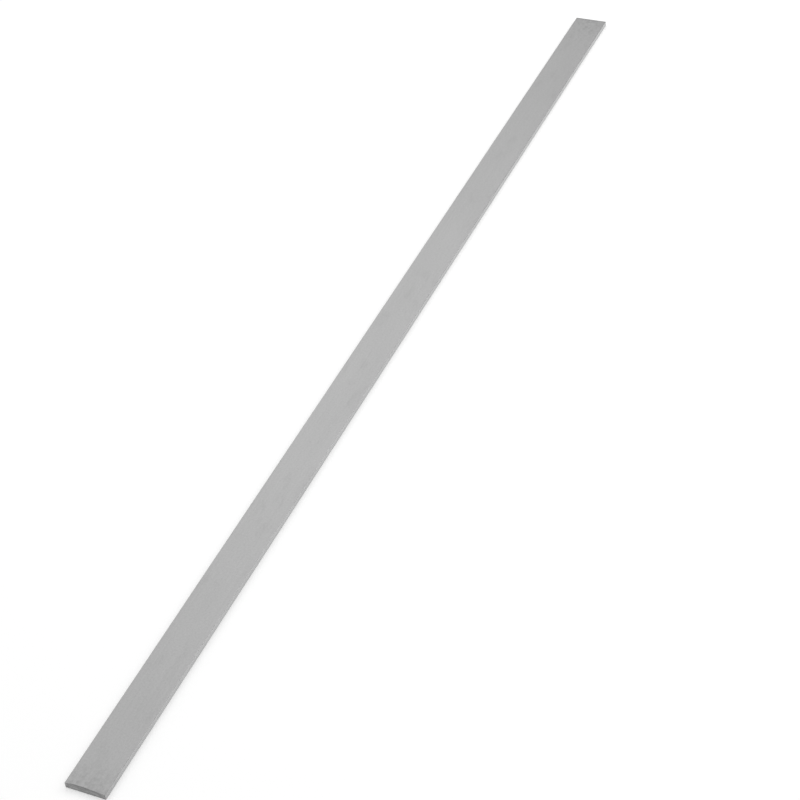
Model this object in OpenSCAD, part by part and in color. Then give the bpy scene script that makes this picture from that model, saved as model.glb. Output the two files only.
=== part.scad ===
// Carbide strip: a flat bar of sintered cemented carbide, one solid piece.
// It lies on its broad face, with +X along its length, +Y across its width and +Z up.
// The origin is under the middle of the strip, on the face that it lies on.

/* [Strip] */
// Length of the strip, from end face to end face
strip_length = 330; // [50:1:500]
// Width of the strip, from long side to long side
strip_width = 10; // [4:0.5:50]
// Thickness of the strip, from broad face to broad face
strip_thickness = 1.5; // [1:0.1:10]

/* [Edges] */
// Radius that the pressing die leaves along the four long edges
long_edge_radius = 0.1; // [0.05:0.05:0.45]
// Radius that deburring leaves along the top and bottom edges of the end faces
end_edge_radius = 0.1; // [0.05:0.05:0.45]
// Radius of the four upright corners, seen from above
corner_radius = 0.1; // [0.05:0.05:1.5]

/* [Hidden] */
// Grey of bare sintered carbide
carbide_grey = [0.70, 0.70, 0.71];
// Enough segments for the edge radii to read as true arcs
$fn = 64;

// A rectangle centred on the origin, with its four corners rounded
module rounded_rectangle(size_x, size_y, radius) {
    square([size_x - 2 * radius, size_y], center = true);
    square([size_x, size_y - 2 * radius], center = true);
    for (side_x = [-1, 1], side_y = [-1, 1])
        translate([side_x * (size_x / 2 - radius), side_y * (size_y / 2 - radius)])
            circle(r = radius);
}

// The section that the die presses, run along the whole length
module pressed_section() {
    rotate([90, 0, 90])
        linear_extrude(height = strip_length, center = true)
            rounded_rectangle(strip_width, strip_thickness, long_edge_radius);
}

// The outline seen from a long side, which breaks the end faces' level edges
module side_outline() {
    rotate([90, 0, 0])
        linear_extrude(height = strip_width, center = true)
            rounded_rectangle(strip_length, strip_thickness, end_edge_radius);
}

// The outline seen from above, which breaks the upright corners
module plan_outline() {
    linear_extrude(height = strip_thickness, center = true)
        rounded_rectangle(strip_length, strip_width, corner_radius);
}

// The strip: the one solid that all three outlines share
module carbide_strip() {
    color(carbide_grey)
        translate([0, 0, strip_thickness / 2])
            intersection() {
                pressed_section();
                side_outline();
                plan_outline();
            }
}

carbide_strip();
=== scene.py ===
"""Carbide strip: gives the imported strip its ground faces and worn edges, and sets its stage."""
import math

import bpy
import numpy as np
from bpy.props import FloatProperty, FloatVectorProperty, IntProperty, PointerProperty
from mathutils import Euler, Matrix, Vector


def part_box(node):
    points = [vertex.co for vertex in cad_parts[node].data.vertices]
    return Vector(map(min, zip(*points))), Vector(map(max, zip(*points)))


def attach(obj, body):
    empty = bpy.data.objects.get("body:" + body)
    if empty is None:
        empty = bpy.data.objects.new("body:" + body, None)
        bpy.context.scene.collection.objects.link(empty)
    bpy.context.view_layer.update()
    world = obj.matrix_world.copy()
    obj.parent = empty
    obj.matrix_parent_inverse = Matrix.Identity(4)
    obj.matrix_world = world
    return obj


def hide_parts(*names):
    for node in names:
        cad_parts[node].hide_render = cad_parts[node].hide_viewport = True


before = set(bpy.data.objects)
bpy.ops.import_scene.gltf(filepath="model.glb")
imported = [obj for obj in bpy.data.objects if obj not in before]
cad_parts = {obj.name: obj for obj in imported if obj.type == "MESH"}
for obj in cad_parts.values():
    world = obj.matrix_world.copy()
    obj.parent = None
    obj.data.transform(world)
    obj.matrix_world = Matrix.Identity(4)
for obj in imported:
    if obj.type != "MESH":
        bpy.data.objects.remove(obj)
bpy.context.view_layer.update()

bl_info = {
    "name": "Carbide strip",
    "version": (1, 0, 0),
    "blender": (4, 5, 0),
    "location": "3D View > Sidebar > Carbide strip",
    "description": "Models a sintered carbide strip with broken edges and sets a plain stage for it",
    "category": "Object",
}

MM = 0.001
NODE = "carbide_strip"
BODY = "root"
STRIP_LOW, STRIP_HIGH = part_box(NODE)
STRIP_CENTRE = (STRIP_LOW + STRIP_HIGH) / 2
# In millimetres, to a thousandth
STRIP_SIZE = (np.array(STRIP_HIGH - STRIP_LOW) / MM).round(3)


def linear(hex_colour):
    """The linear colour that an sRGB hex value stands for."""
    shares = [int(hex_colour[i : i + 2], 16) / 255 for i in (1, 3, 5)]
    return [s / 12.92 if s <= 0.04045 else ((s + 0.055) / 1.055) ** 2.4 for s in shares]


def add_node(tree, kind, inputs=None, **settings):
    """Adds one node. An input takes a value, a socket, or a node, by its first output in use."""
    made = tree.nodes.new(kind)
    for name, value in settings.items():
        setattr(made, name, value)
    in_use = [i for i, socket in enumerate(made.inputs) if socket.enabled]
    for key, value in (inputs or {}).items():
        if isinstance(key, str):
            key = next(i for i in in_use if made.inputs[i].name == key)
        if isinstance(value, bpy.types.Node):
            value = next(socket for socket in value.outputs if socket.enabled)
        if isinstance(value, bpy.types.NodeSocket):
            tree.links.new(value, made.inputs[key])
        else:
            made.inputs[key].default_value = value
    return made


class StripSettings(bpy.types.PropertyGroup):
    """Sizes and colours of the strip's surface"""

    long_edge_radius: FloatProperty(
        name="Long edge radius",
        description="Radius that the pressing die leaves along the four long edges",
        default=0.1 * MM,
        unit="LENGTH",
        precision=5,
    )
    end_edge_radius: FloatProperty(
        name="End edge radius",
        description="Radius that deburring leaves along the level edges of the end faces",
        default=0.1 * MM,
        unit="LENGTH",
        precision=5,
    )
    corner_radius: FloatProperty(
        name="Corner radius",
        description="Radius of the four upright corners, seen from above",
        default=0.1 * MM,
        unit="LENGTH",
        precision=5,
    )
    edge_wear: FloatProperty(
        name="Edge wear",
        description="Share by which an edge's radius grows and shrinks along the edge",
        default=0.3,
        subtype="FACTOR",
        min=0.0,
        max=0.6,
    )
    chips_per_edge: IntProperty(
        name="Chips per edge",
        description="Small chips along each long edge, as brittle carbide has them",
        default=5,
        min=0,
    )
    carbide_colour: FloatVectorProperty(
        name="Carbide",
        description="Grey of the ground faces",
        subtype="COLOR",
        default=linear("#B6B6B6"),
        min=0.0,
        max=1.0,
    )
    # The long sides' lighter grey is a painted reflection of the bright white floor that they mirror.
    side_reflection_colour: FloatVectorProperty(
        name="Long sides",
        description="Grey of the two narrow long sides, which are ground brighter",
        subtype="COLOR",
        default=linear("#BFBFBF"),
        min=0.0,
        max=1.0,
    )
    # This grey darkens the smudges. It also paints the darker stretch at each end, which is partly
    # handled stains and partly painted shade.
    stain_and_shade_colour: FloatVectorProperty(
        name="Stains",
        description="Darker grey of the smudges, and of the handled patches near the ends",
        subtype="COLOR",
        default=linear("#8C8C8C"),
        min=0.0,
        max=1.0,
    )
    # This grey darkens the end faces, partly as their sintered skin and partly as painted shade, and
    # paints a shade along the edges.
    skin_and_shade_colour: FloatVectorProperty(
        name="End faces",
        description="Grey of the skin on the end faces, which are left as sintered, and on the edges",
        subtype="COLOR",
        default=linear("#9F9F9F"),
        min=0.0,
        max=1.0,
    )
    # This grey darkens the pores and the thicker skin on the ends. It also paints a shade in a band
    # just inside the far end's edge.
    blotch_and_shade_colour: FloatVectorProperty(
        name="Blotches",
        description="Dark grey of the pores, and of the skin where it is thicker or laps over an edge",
        subtype="COLOR",
        default=linear("#7C7C7C"),
        min=0.0,
        max=1.0,
    )
    roughness: FloatProperty(
        name="Roughness",
        description="Roughness of the broad ground faces",
        default=0.5,
        subtype="FACTOR",
        min=0.0,
        max=1.0,
    )


class StageSettings(bpy.types.PropertyGroup):
    """Places and levels of the floor, the surroundings, the panels of light and the camera"""

    floor_colour: FloatVectorProperty(
        name="Floor",
        description="White of the paper that the strip lies on",
        subtype="COLOR",
        default=linear("#EDEDED"),
        min=0.0,
        max=1.0,
    )
    floor_lift: FloatProperty(
        name="Floor lift",
        description="Light that the floor adds for the camera and for reflections, so that it is white",
        default=0.301,
    )
    horizon_level: FloatProperty(
        name="Horizon level",
        description="Brightness of the surroundings at the horizon",
        default=0.38,
    )
    overhead_level: FloatProperty(
        name="Overhead level",
        description="Brightness of the surroundings overhead",
        default=1.103,
    )
    key_heading: FloatProperty(
        name="Key heading",
        description="Direction of the key panel from the far end, turned from +X towards +Y",
        subtype="ANGLE",
        default=math.radians(-75),
    )
    key_height: FloatProperty(
        name="Key height",
        description="Angle of the key panel above the floor",
        subtype="ANGLE",
        default=math.radians(45),
    )
    key_distance: FloatProperty(
        name="Key distance",
        description="How far the key panel stands from the far end",
        unit="LENGTH",
        default=0.4,
    )
    key_width: FloatProperty(
        name="Key width",
        description="Side of the key panel, which is square",
        unit="LENGTH",
        default=0.25,
    )
    key_power: FloatProperty(
        name="Key power",
        description="Power of the key panel",
        unit="POWER",
        default=0.319,
    )
    sheen_heading: FloatProperty(
        name="Sheen heading",
        description="Direction of the panel that the strip's middle mirrors, turned from +X towards +Y",
        subtype="ANGLE",
        default=math.radians(32),
    )
    sheen_height: FloatProperty(
        name="Sheen height",
        description="Angle of that panel above the floor",
        subtype="ANGLE",
        default=math.radians(44),
    )
    sheen_distance: FloatProperty(
        name="Sheen distance",
        description="How far that panel stands from the strip's middle",
        unit="LENGTH",
        default=0.9,
    )
    sheen_width: FloatProperty(
        name="Sheen width",
        description="Side of that panel, which is square",
        unit="LENGTH",
        default=0.45,
    )
    sheen_power: FloatProperty(
        name="Sheen power",
        description="Power of that panel",
        unit="POWER",
        default=0.647,
    )
    camera_place: FloatVectorProperty(
        name="Camera place",
        description="Where the camera stands",
        subtype="TRANSLATION",
        unit="LENGTH",
        default=(-366.16 * MM, -186.62 * MM, 327.90 * MM),
    )
    camera_heading: FloatProperty(
        name="Camera heading",
        description="Direction of the view over the floor, turned from +X towards +Y",
        subtype="ANGLE",
        default=math.radians(26.998),
    )
    camera_tilt: FloatProperty(
        name="Camera tilt",
        description="How far the view points below the horizon",
        subtype="ANGLE",
        default=math.radians(40.741),
    )
    camera_roll: FloatProperty(
        name="Camera roll",
        description="Turn of the camera about its own view, clockwise seen from behind it",
        subtype="ANGLE",
        default=math.radians(5.946),
    )
    camera_lens: FloatProperty(
        name="Camera lens",
        description="Focal length in millimetres, on a square frame 36 mm wide",
        default=87.79,
    )


# Shape of the strip, in millimetres about its centre

# Grid lines run at these distances from each edge, close enough together to show a round edge
EDGE_LINES = np.array([0.0, 0.015, 0.035, 0.06, 0.095, 0.14, 0.2, 0.28, 0.38, 0.5])
# How far apart they run elsewhere, along, across and up the strip
GRID_STEP = (1.8, 0.4, 0.25)
# Grid lines that agree to this many decimals are one, and so are lines closer than the least step
GRID_DECIMALS = 4
LEAST_STEP = 0.01
# A point on the box moves towards a core that lies this deep
CORE_DEPTH = 0.5
# How often its way is halved to find the surface, and how far outside it a point may stay
HALVINGS = 24
ON_SURFACE = 1e-6
# An edge's radius wanders between values this far apart, with some to spare past the last whole step
WEAR_SPACING = 7.0
WEAR_SPARES = 3
# From the shortest to the longest chip, and from the shallowest to the deepest
CHIP_LENGTH = (0.3, 0.9)
CHIP_DEPTH = (0.03, 0.09)
# No chip along a long edge has its middle nearer to an end than this
CHIP_MARGIN = 3.0
# How far outside the edge the middle of a chip's ball lies, in depths of the chip
CHIP_FLATNESS = 1.5
# Grid lines over a chip, in shares of how far it reaches along the strip from its middle
CHIP_LINES = np.linspace(-1.15, 1.15, 9)
# Breaks along the near end's top edge: place across the width, length and depth
END_BREAKS = (
    (2.7, 3.4, 0.38),
    (0.6, 4.4, 0.4),
    (-1.8, 3.4, 0.24),
    (4.3, 1.2, 0.14),
    (-3.6, 1.8, 0.12),
)
STRIP_SEED = 7
# The bake's map unrolls the strip in this many lengths, one above another, with this gap
MAP_NAME = "OFBake"
MAP_LENGTHS = 4
MAP_GAP = 0.6


class Wander:
    """A smooth line of seeded random values from -1 to 1, for the way that an edge wears."""

    def __init__(self, length, spacing, random):
        self.start = -length / 2
        self.spacing = spacing
        self.values = random.uniform(-1, 1, int(length / spacing) + WEAR_SPARES)

    def at(self, places):
        """The values at places along the edge."""
        along = (places - self.start) / self.spacing
        low = along.astype(int)
        share = along - low
        share = share * share * (3 - 2 * share)
        return self.values[low] * (1 - share) + self.values[low + 1] * share


class Chip:
    """A shallow scoop out of an edge, cut by a ball whose middle lies outside the strip."""

    def __init__(self, edge, outward, length, depth):
        aside = CHIP_FLATNESS * depth
        radius = math.hypot(depth + aside, aside)
        # The ball is drawn out along the edge, and only this share of it meets the edge
        share = math.sqrt(1 - 2 * (aside / radius) ** 2)
        self.centre = edge + outward * aside
        self.reach = np.where(outward == 0, length / 2 / share, radius)
        self.lines = edge[0] + CHIP_LINES * (depth if outward[0] else length / 2)

    def depth_at(self, points):
        """How deep points lie in the scoop. It is below zero outside it."""
        return (1 - np.linalg.norm((points - self.centre) / self.reach, axis=1)) * self.reach.min()


def rounded_outline(a, b, half_a, half_b, radius):
    """Distance from a rounded rectangle about the origin. It is below zero inside."""
    past_a = np.abs(a) - half_a + radius
    past_b = np.abs(b) - half_b + radius
    outside = np.hypot(np.maximum(past_a, 0), np.maximum(past_b, 0))
    return outside + np.minimum(np.maximum(past_a, past_b), 0) - radius


class StripForm:
    """The strip's worn surface: the outline that its section, side and plan share, less its chips."""

    def __init__(self, size, settings):
        random = np.random.default_rng(STRIP_SEED)
        self.half = size / 2
        self.long_radius = settings.long_edge_radius / MM
        self.end_radius = settings.end_edge_radius / MM
        self.corner_radius = settings.corner_radius / MM
        self.edge_wear = settings.edge_wear
        self.edges = [(side, level) for side in (-1, 1) for level in (-1, 1)]
        self.wear = {edge: Wander(size[0], WEAR_SPACING, random) for edge in self.edges}
        self.chips = [chip for edge in self.edges for chip in self.edge_chips(edge, settings, random)]
        self.chips += self.end_chips()

    def edge_chips(self, edge, settings, random):
        """Small chips along one long edge."""
        outward = np.array([0, *edge])
        reach = self.half[0] - CHIP_MARGIN
        for _ in range(settings.chips_per_edge):
            place = outward * self.half + [random.uniform(-reach, reach), 0, 0]
            yield Chip(place, outward, random.uniform(*CHIP_LENGTH), random.uniform(*CHIP_DEPTH))

    def end_chips(self):
        """The breaks along the near end's top edge."""
        outward = np.array([-1, 0, 1])
        for across, length, depth in END_BREAKS:
            yield Chip(outward * self.half + [0, across, 0], outward, length, depth)

    def distance(self, points):
        """Distance from the outline, below zero inside, for points in rows."""
        x, y, z = points.T
        radius = np.empty(len(points))
        for side, level in self.edges:
            here = ((y >= 0) == (side > 0)) & ((z >= 0) == (level > 0))
            radius[here] = self.long_radius * (1 + self.edge_wear * self.wear[side, level].at(x[here]))
        section = rounded_outline(y, z, self.half[1], self.half[2], radius)
        side_view = rounded_outline(x, z, self.half[0], self.half[2], self.end_radius)
        plan_view = rounded_outline(x, y, self.half[0], self.half[1], self.corner_radius)
        return np.maximum(np.maximum(section, side_view), plan_view)

    def pulled_in(self, points):
        """Points on the strip's box, moved in towards its core until they meet the worn surface."""
        core = np.clip(points, CORE_DEPTH - self.half, self.half - CORE_DEPTH)
        beside = [
            np.flatnonzero(np.abs(points[:, 0] - chip.centre[0]) < chip.reach[0] + CORE_DEPTH)
            for chip in self.chips
        ]

        def outside(share):
            places = points + (core - points) * share[:, None]
            value = self.distance(places)
            for chip, some in zip(self.chips, beside):
                value[some] = np.maximum(value[some], chip.depth_at(places[some]))
            return value > ON_SURFACE

        low = np.zeros(len(points))
        high = np.where(outside(low), 1.0, 0.0)
        for _ in range(HALVINGS):
            middle = (low + high) / 2
            out = outside(middle)
            low = np.where(out, middle, low)
            high = np.where(out, high, middle)
        return points + (core - points) * high[:, None]


def grid_lines(size, step, extra=()):
    """Places across a size: close together at both edges, and about a step apart between them."""
    inner = size / 2 - EDGE_LINES[-1]
    even = np.linspace(-inner, inner, max(1, round(2 * inner / step)) + 1)
    edges = np.concatenate([EDGE_LINES - size / 2, size / 2 - EDGE_LINES])
    places = np.unique(np.concatenate([edges, even, extra]).round(GRID_DECIMALS))
    places = places[np.abs(places) <= size / 2]
    kept = [places[0]]
    for place in places[1:-1]:
        if place - kept[-1] > LEAST_STEP and places[-1] - place > LEAST_STEP:
            kept.append(place)
    return np.array(kept + [places[-1]])


def round_the_section(columns, levels):
    """Grid places (column, level) once round the section's outline, anticlockwise seen from +X."""
    right, top = columns - 1, levels - 1
    under = [(column, 0) for column in range(right)]
    rising = [(right, level) for level in range(top)]
    over = [(column, top) for column in range(right, 0, -1)]
    falling = [(0, level) for level in range(top, 0, -1)]
    return np.array(under + rising + over + falling)


def in_rows(points, faces, places):
    """Points in rows of three, faces in rows of four, and their corners' map places in rows of two."""
    faces = np.stack(faces, -1).reshape(-1, 4)
    places = np.stack(places, -2).reshape(-1, 2)
    return points.reshape(-1, 3), faces, places


class StripGrid:
    """Quads over the strip's box: a sleeve along its length, and a grid over each end.

    Each of these gives its points, its faces by the numbers of their points, and its places on the map.
    """

    def __init__(self, form, size):
        cuts = size[0] * (np.arange(1, MAP_LENGTHS) / MAP_LENGTHS - 0.5)
        extra = np.concatenate([cuts, *(chip.lines for chip in form.chips)])
        self.size = size
        self.xs = grid_lines(size[0], GRID_STEP[0], extra)
        self.ys = grid_lines(size[1], GRID_STEP[1])
        self.zs = grid_lines(size[2], GRID_STEP[2])
        self.ring = round_the_section(len(self.ys), len(self.zs))
        self.section = np.column_stack([self.ys[self.ring[:, 0]], self.zs[self.ring[:, 1]]])
        # How far round the section each place lies, which is its height in its row of the map
        closed = np.vstack([self.section, self.section[:1]])
        self.walked = np.concatenate([[0], np.cumsum(np.linalg.norm(np.diff(closed, axis=0), axis=1))])
        self.row_length = size[0] / MAP_LENGTHS
        self.row_height = self.walked[-1] + MAP_GAP
        self.top_row = MAP_LENGTHS * self.row_height
        self.page = np.array([self.row_length, self.top_row + size[2]]) + 2 * MAP_GAP

    def sleeve(self):
        """The four long faces. Their map has one row for each length, unrolled from the lower edge."""
        around = len(self.ring)
        points = np.empty((len(self.xs), around, 3))
        points[:, :, 0] = self.xs[:, None]
        points[:, :, 1:] = self.section
        station, turn = np.indices((len(self.xs) - 1, around))
        corners = [(station, turn), (station, turn + 1), (station + 1, turn + 1), (station + 1, turn)]
        faces = [at * around + on % around for at, on in corners]
        middle = (self.xs[station] + self.xs[station + 1]) / 2
        row = (middle + self.size[0] / 2) // self.row_length
        right = self.size[0] / 2 - row * self.row_length
        up = row * self.row_height
        places = [np.stack([self.xs[at] + right, self.walked[on] + up], -1) for at, on in corners]
        return in_rows(points, faces, places)

    def end(self, number, first):
        """The near end, 0, or the far end, 1. Its own points are numbered from first."""
        station = number * (len(self.xs) - 1)
        around = len(self.ring)
        y, z = np.meshgrid(self.ys[1:-1], self.zs[1:-1], indexing="ij")
        points = np.stack([np.full_like(y, self.xs[station]), y, z], -1)
        index = np.empty((len(self.ys), len(self.zs)), int)
        index[self.ring[:, 0], self.ring[:, 1]] = station * around + np.arange(around)
        index[1:-1, 1:-1] = first + np.arange(y.size).reshape(y.shape)
        column, level = np.indices((len(self.ys) - 1, len(self.zs) - 1))
        corners = [(column, level), (column + 1, level), (column + 1, level + 1), (column, level + 1)]
        if number == 0:
            corners.reverse()
        faces = [index[at, on] for at, on in corners]
        right = number * (self.size[1] + MAP_GAP) + self.size[1] / 2
        up = self.top_row + self.size[2] / 2
        places = [np.stack([self.ys[at] + right, self.zs[on] + up], -1) for at, on in corners]
        return in_rows(points, faces, places)


def strip_mesh(form, size):
    """The worn surface as one closed mesh, with the map that its bake uses."""
    grid = StripGrid(form, size)
    parts = [grid.sleeve()]
    for number in (0, 1):
        parts.append(grid.end(number, first=sum(len(points) for points, _, _ in parts)))
    points, faces, places = (np.concatenate(rows) for rows in zip(*parts))
    points = form.pulled_in(points) * MM + np.array(STRIP_CENTRE)
    places = (places + MAP_GAP) / grid.page
    mesh = bpy.data.meshes.new("strip_mesh")
    mesh.from_pydata(points.tolist(), [], faces.tolist())
    mesh.uv_layers.new(name=MAP_NAME).data.foreach_set("uv", places.ravel())
    mesh.polygons.foreach_set("use_smooth", np.ones(len(faces), bool))
    mesh.update()
    return mesh


# Finish of the strip

# The carbide's patterns: size along X, Y and Z in millimetres, detail and roughness
PATTERNS = {
    # Where the powder packed more or less densely
    "clouds": ((26, 8, 8), 2, 0.5),
    # The grain is about 0.002 mm, and is drawn 0.5 mm wide so that it shows
    "grain": ((0.5, 0.5, 0.5), 8, 0.75),
    # The wheel's lines are about 0.02 mm apart, and are drawn 0.25 mm apart so that they show
    "wheel_lines": ((30, 0.25, 0.25), 6, 0.65),
    # The pores that sintering leaves are about 0.02 mm, and are drawn 0.1 mm wide so that they show
    "pores": ((0.1, 0.1, 0.1), 2, 0.5),
    # Where fingers have touched it
    "handled": ((1.1, 0.9, 0.9), 4, 0.6),
    # Where something has lain against it
    "smudges": ((7, 3, 3), 4, 0.55),
    # Where the sintered skin is thicker
    "blotches": ((0.8, 0.8, 0.5), 3, 0.6),
}
HALF_LENGTH = STRIP_SIZE[0] / 2 * MM
# Masks: what each measures, the values at which it begins and is full, and its strength there
MASKS = {
    # The long sides and the end faces, by how squarely they face Y and X
    "side": ("faces_y", 0.35, 0.85, 1.0),
    "end": ("faces_x", 0.6, 0.95, 1.0),
    # The broken edges, which face no axis squarely, and a painted shade along them: a darker line where
    # their rounds would mirror the darker horizon
    "edge": ("squareness", 0.99, 0.85, 1.0),
    "edge_shade": ("squareness", 0.99, 0.85, 0.7),
    # The stretch at each end that is darkened, partly by handled stains and partly by painted shade
    "near_end": ("along", 9 * MM - HALF_LENGTH, -HALF_LENGTH, 0.57),
    "far_end": ("along", HALF_LENGTH - 25 * MM, HALF_LENGTH, 0.4),
    # A painted shade in a band just inside the far end's edge, a dark line that stands in for the edge
    # mirroring the darker horizon
    "far_rim_shade": ("along", HALF_LENGTH - 1.2 * MM, HALF_LENGTH - 0.4 * MM, 0.3),
    # Soft stains for the near end, and smaller spots for the far end
    "near_handled": ("handled", 0.29, 0.85, 1.0),
    "far_handled": ("handled", 0.42, 0.72, 1.0),
    "smudges": ("smudges", 0.54, 0.72, 0.11),
    "blotches": ("blotches", 0.45, 0.7, 0.7),
    "pores": ("pores", 0.58, 0.72, 0.28),
}
# Marks: two masks, and how they are joined
MARKS = {
    # The end faces' skin, partly painted shade, and the painted shade along the edges
    "skin_and_edge_shade": ("end", "edge_shade", "MAXIMUM"),
    # The darker stretches at the ends: handled stains, and painted shade
    "near_stains_and_shade": ("near_end", "near_handled", "MULTIPLY"),
    "far_stains_and_shade": ("far_end", "far_handled", "MULTIPLY"),
    "end_blotches": ("end", "blotches", "MULTIPLY"),
}
# How far each pattern lightens and darkens the grey
TONE_SHARES = {"clouds": 0.08, "grain": 0.55, "wheel_lines": 0.17}
# How far the grain varies the roughness, and how much smoother the long sides and the edges are
ROUGHNESS_SPREAD = 0.1
SIDE_SMOOTHER = 0.22
EDGE_SMOOTHER = 0.15
# How deep the relief is, and how strongly it shows
RELIEF_DEPTH = 0.012 * MM
RELIEF_STRENGTH = 0.5
# The wheel's lines and the pores in the relief, in which the grain counts as 1
WHEEL_RELIEF = 0.5
PORE_RELIEF = -0.5


def carbide_patterns(tree, place):
    """Each pattern's noise, at its own size."""
    patterns = {}
    for name, (size, detail, roughness) in PATTERNS.items():
        scaled = add_node(
            tree,
            "ShaderNodeVectorMath",
            {0: place.outputs["Object"], 1: [1 / (s * MM) for s in size]},
            operation="MULTIPLY",
        )
        patterns[name] = add_node(
            tree,
            "ShaderNodeTexNoise",
            {"Vector": scaled, "Scale": 1.0, "Detail": detail, "Roughness": roughness},
        )
    return patterns


def carbide_masks(tree, place, patterns):
    """Each mask and mark, which goes from 0 up to its strength."""
    facing = add_node(tree, "ShaderNodeSeparateXYZ", {0: place.outputs["Normal"]})
    faces = {
        axis: add_node(tree, "ShaderNodeMath", {0: facing.outputs[axis]}, operation="ABSOLUTE")
        for axis in "XYZ"
    }
    squareness = faces["X"]
    for axis in "YZ":
        inputs = {0: squareness, 1: faces[axis]}
        squareness = add_node(tree, "ShaderNodeMath", inputs, operation="MAXIMUM")
    along = add_node(tree, "ShaderNodeSeparateXYZ", {0: place.outputs["Object"]}).outputs["X"]
    measures = {
        **patterns,
        "faces_x": faces["X"],
        "faces_y": faces["Y"],
        "squareness": squareness,
        "along": along,
    }
    masks = {}
    for name, (measure, begins, full, strength) in MASKS.items():
        masks[name] = add_node(
            tree,
            "ShaderNodeMapRange",
            {"Value": measures[measure], "From Min": begins, "From Max": full, "To Max": strength},
            interpolation_type="SMOOTHSTEP",
        )
    for name, (one, other, joined) in MARKS.items():
        inputs = {0: masks[one], 1: masks[other]}
        masks[name] = add_node(tree, "ShaderNodeMath", inputs, operation=joined)
    return masks


def carbide_colour(tree, settings, patterns, masks):
    """The grey of each face with its marks, painted shade and a painted reflection among them, and the
    patterns' lighter and darker tone over it.
    """
    layers = (
        ("side", settings.side_reflection_colour),
        ("skin_and_edge_shade", settings.skin_and_shade_colour),
        ("smudges", settings.stain_and_shade_colour),
        ("near_stains_and_shade", settings.stain_and_shade_colour),
        ("far_stains_and_shade", settings.stain_and_shade_colour),
        ("far_rim_shade", settings.blotch_and_shade_colour),
        ("end_blotches", settings.blotch_and_shade_colour),
        ("pores", settings.blotch_and_shade_colour),
    )
    colour = [*settings.carbide_colour, 1]
    for name, over in layers:
        inputs = {"Factor": masks[name], "A": colour, "B": [*over, 1]}
        colour = add_node(tree, "ShaderNodeMix", inputs, data_type="RGBA")
    tone = 1 - sum(TONE_SHARES.values()) / 2
    for name, share in TONE_SHARES.items():
        inputs = {0: patterns[name], 1: share, 2: tone}
        tone = add_node(tree, "ShaderNodeMath", inputs, operation="MULTIPLY_ADD")
    inputs = {"Factor": 1.0, "A": colour, "B": tone}
    return add_node(tree, "ShaderNodeMix", inputs, data_type="RGBA", blend_type="MULTIPLY")


def ground_carbide(settings):
    """Cemented carbide: tungsten carbide powder bound with cobalt, pressed, sintered and ground."""
    # The eye sees an even neutral grey, dull as pewter, with a fine sandy grain, faint clouds and
    # faint lines along the length from the grinding wheel. Fine pores and smudges darken it a little,
    # and so do stains and painted shade near the ends. The long sides are smoother, and their lighter
    # grey is a painted reflection of the white floor. The ends are left as sintered, and are darker,
    # partly by painted shade. Painted shade also darkens the edges and a band by the far end's edge.
    material = bpy.data.materials.new("cemented_carbide_ground")
    material.use_nodes = True
    tree = material.node_tree
    tree.nodes.clear()
    place = add_node(tree, "ShaderNodeTexCoord")
    patterns = carbide_patterns(tree, place)
    masks = carbide_masks(tree, place, patterns)
    colour = carbide_colour(tree, settings, patterns, masks)
    rough = settings.roughness - ROUGHNESS_SPREAD / 2
    changes = (
        (patterns["grain"], ROUGHNESS_SPREAD),
        (masks["side"], -SIDE_SMOOTHER),
        (masks["edge"], -EDGE_SMOOTHER),
    )
    for measure, change in changes:
        inputs = {0: measure, 1: change, 2: rough}
        rough = add_node(tree, "ShaderNodeMath", inputs, operation="MULTIPLY_ADD")
    relief = patterns["grain"]
    for measure, share in ((patterns["wheel_lines"], WHEEL_RELIEF), (masks["pores"], PORE_RELIEF)):
        inputs = {0: measure, 1: share, 2: relief}
        relief = add_node(tree, "ShaderNodeMath", inputs, operation="MULTIPLY_ADD")
    bump = add_node(
        tree,
        "ShaderNodeBump",
        {"Height": relief, "Strength": RELIEF_STRENGTH, "Distance": RELIEF_DEPTH},
    )
    shader = add_node(
        tree,
        "ShaderNodeBsdfPrincipled",
        {"Base Color": colour, "Metallic": 1.0, "Roughness": rough, "Normal": bump},
    )
    add_node(tree, "ShaderNodeOutputMaterial", {"Surface": shader})
    return material


class OBJECT_OT_add_carbide_strip(bpy.types.Operator):
    """Model the strip's worn surface in place of its plain solid"""

    bl_idname = "object.add_carbide_strip"
    bl_label = "Add carbide strip"

    def execute(self, context):
        settings = context.scene.carbide_strip
        mesh = strip_mesh(StripForm(STRIP_SIZE, settings), STRIP_SIZE)
        mesh.materials.append(ground_carbide(settings))
        strip = bpy.data.objects.new("strip_body", mesh)
        context.scene.collection.objects.link(strip)
        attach(strip, BODY)
        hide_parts(NODE)
        return {"FINISHED"}


# The stage, in metres

FLOOR_SIDE = 12.0
# The floor lies this far under the strip, so that no two faces share a plane
FLOOR_GAP = 0.01 * MM
# The surroundings are as bright as overhead from this height up, on a ball of radius 1
SKY_TOP = 0.9
# The foot of the far end, which the key panel faces
FAR_END = Vector((STRIP_HIGH.x, STRIP_CENTRE.y, STRIP_LOW.z))
# Width of the camera's frame, in millimetres, and the nearest distance at which it sees
SENSOR_SIDE = 36.0
CLIP_START = 0.01


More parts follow.
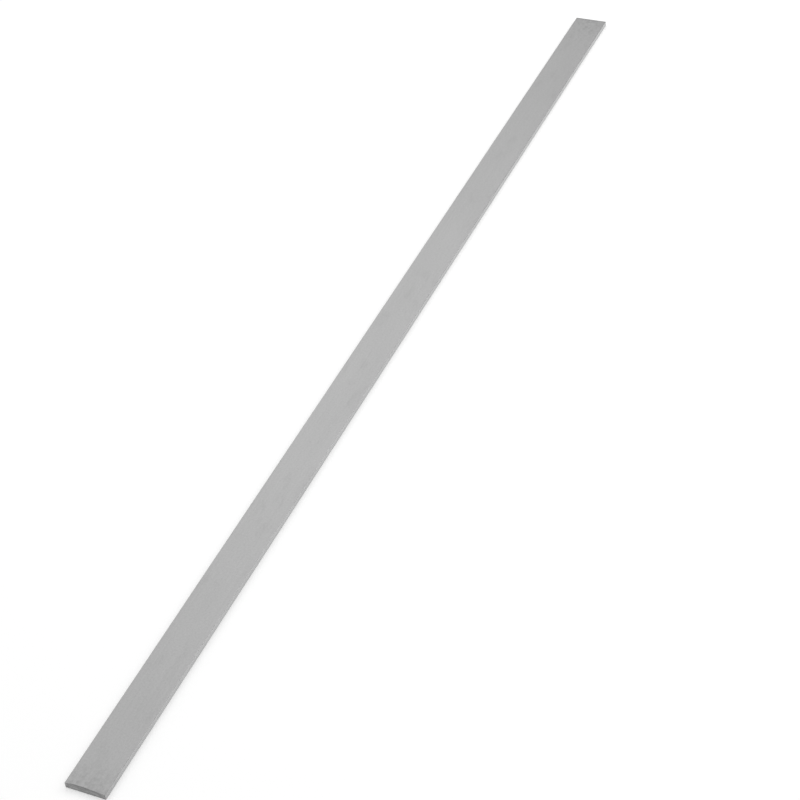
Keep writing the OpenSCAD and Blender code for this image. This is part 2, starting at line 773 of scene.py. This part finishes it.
def white_paper(settings):
    """Matt white paper, uncoated."""
    # The eye sees a plain white sheet that keeps the strip's soft shadow. What lifts it to white shows
    # only to the camera and in reflections.
    material = bpy.data.materials.new("white_paper_matt")
    material.use_nodes = True
    tree = material.node_tree
    tree.nodes.clear()
    paper = add_node(tree, "ShaderNodeBsdfDiffuse", {"Color": [*settings.floor_colour, 1]})
    path = add_node(tree, "ShaderNodeLightPath")
    shown = path.outputs["Is Camera Ray"]
    for ray in ("Is Glossy Ray", "Is Transmission Ray"):
        shown = add_node(tree, "ShaderNodeMath", {0: shown, 1: path.outputs[ray]}, operation="MAXIMUM")
    lift = add_node(tree, "ShaderNodeMath", {0: shown, 1: settings.floor_lift}, operation="MULTIPLY")
    glow = add_node(tree, "ShaderNodeEmission", {"Strength": lift})
    both = add_node(tree, "ShaderNodeAddShader", {0: paper, 1: glow})
    add_node(tree, "ShaderNodeOutputMaterial", {"Surface": both})
    return material


def add_floor(scene, settings):
    """A wide level sheet of paper just under the strip."""
    half = FLOOR_SIDE / 2
    level = STRIP_LOW.z - FLOOR_GAP
    mesh = bpy.data.meshes.new("floor_mesh")
    corners = [(-half, -half, level), (half, -half, level), (half, half, level), (-half, half, level)]
    mesh.from_pydata(corners, [], [(0, 1, 2, 3)])
    mesh.materials.append(white_paper(settings))
    floor = bpy.data.objects.new("floor", mesh)
    scene.collection.objects.link(floor)


def set_surroundings(scene, settings):
    """Even light from above that fades towards the horizon, as in a studio with dark walls."""
    world = bpy.data.worlds.new("studio")
    world.use_nodes = True
    scene.world = world
    tree = world.node_tree
    tree.nodes.clear()
    way = add_node(tree, "ShaderNodeTexCoord")
    height = add_node(tree, "ShaderNodeSeparateXYZ", {0: way.outputs["Generated"]})
    level = add_node(
        tree,
        "ShaderNodeMapRange",
        {
            "Value": height.outputs["Z"],
            "From Max": SKY_TOP,
            "To Min": settings.horizon_level,
            "To Max": settings.overhead_level,
        },
        interpolation_type="SMOOTHSTEP",
    )
    sky = add_node(tree, "ShaderNodeBackground", {"Strength": level})
    add_node(tree, "ShaderNodeOutputWorld", {"Surface": sky})


def direction(heading, height):
    """The unit vector at a heading, turned from +X towards +Y, and an angle above the floor."""
    flat = math.cos(height)
    return Vector((math.cos(heading) * flat, math.sin(heading) * flat, math.sin(height)))


def add_panel(scene, name, target, way, distance, width, power):
    """A square panel of light in a direction from its target, facing it."""
    lamp = bpy.data.lights.new(name, "AREA")
    lamp.size = width
    lamp.energy = power
    panel = bpy.data.objects.new(name, lamp)
    panel.location = target + way * distance
    panel.rotation_euler = way.to_track_quat("Z", "Y").to_euler()
    scene.collection.objects.link(panel)


def add_camera(scene, settings):
    """The camera where the photograph was taken from."""
    lens = bpy.data.cameras.new("camera")
    lens.sensor_width = SENSOR_SIDE
    lens.lens = settings.camera_lens
    lens.clip_start = CLIP_START
    tilt, heading = settings.camera_tilt, settings.camera_heading
    turn = Euler((math.pi / 2 - tilt, 0, heading - math.pi / 2)).to_matrix()
    turn = turn @ Matrix.Rotation(-settings.camera_roll, 3, "Z")
    camera = bpy.data.objects.new("camera", lens)
    camera.matrix_world = Matrix.Translation(settings.camera_place) @ turn.to_4x4()
    scene.collection.objects.link(camera)
    scene.camera = camera


class SCENE_OT_set_strip_stage(bpy.types.Operator):
    """Set the floor, the surroundings, the panels of light and the camera round the strip"""

    bl_idname = "scene.set_strip_stage"
    bl_label = "Set stage"

    def execute(self, context):
        scene = context.scene
        settings = scene.strip_stage
        scene.view_settings.view_transform = "Standard"
        add_floor(scene, settings)
        set_surroundings(scene, settings)
        add_panel(
            scene,
            "key_panel",
            FAR_END,
            direction(settings.key_heading, settings.key_height),
            settings.key_distance,
            settings.key_width,
            settings.key_power,
        )
        add_panel(
            scene,
            "sheen_panel",
            STRIP_CENTRE,
            direction(settings.sheen_heading, settings.sheen_height),
            settings.sheen_distance,
            settings.sheen_width,
            settings.sheen_power,
        )
        add_camera(scene, settings)
        return {"FINISHED"}


class VIEW3D_PT_carbide_strip(bpy.types.Panel):
    """The steps that make the strip and its stage, with their sizes and colours"""

    bl_idname = "VIEW3D_PT_carbide_strip"
    bl_label = "Carbide strip"
    bl_space_type = "VIEW_3D"
    bl_region_type = "UI"
    bl_category = "Carbide strip"

    def draw(self, context):
        steps = (
            (OBJECT_OT_add_carbide_strip, context.scene.carbide_strip),
            (SCENE_OT_set_strip_stage, context.scene.strip_stage),
        )
        for step, settings in steps:
            self.layout.operator(step.bl_idname)
            for name in type(settings).__annotations__:
                self.layout.prop(settings, name)


CLASSES = (
    StripSettings,
    StageSettings,
    OBJECT_OT_add_carbide_strip,
    SCENE_OT_set_strip_stage,
    VIEW3D_PT_carbide_strip,
)


def register():
    for each in CLASSES:
        bpy.utils.register_class(each)
    bpy.types.Scene.carbide_strip = PointerProperty(type=StripSettings)
    bpy.types.Scene.strip_stage = PointerProperty(type=StageSettings)


def unregister():
    del bpy.types.Scene.strip_stage
    del bpy.types.Scene.carbide_strip
    for each in reversed(CLASSES):
        bpy.utils.unregister_class(each)


def main():
    """Makes the strip and its stage."""
    register()
    bpy.ops.object.add_carbide_strip()
    bpy.ops.scene.set_strip_stage()


if __name__ == "__main__":
    main()
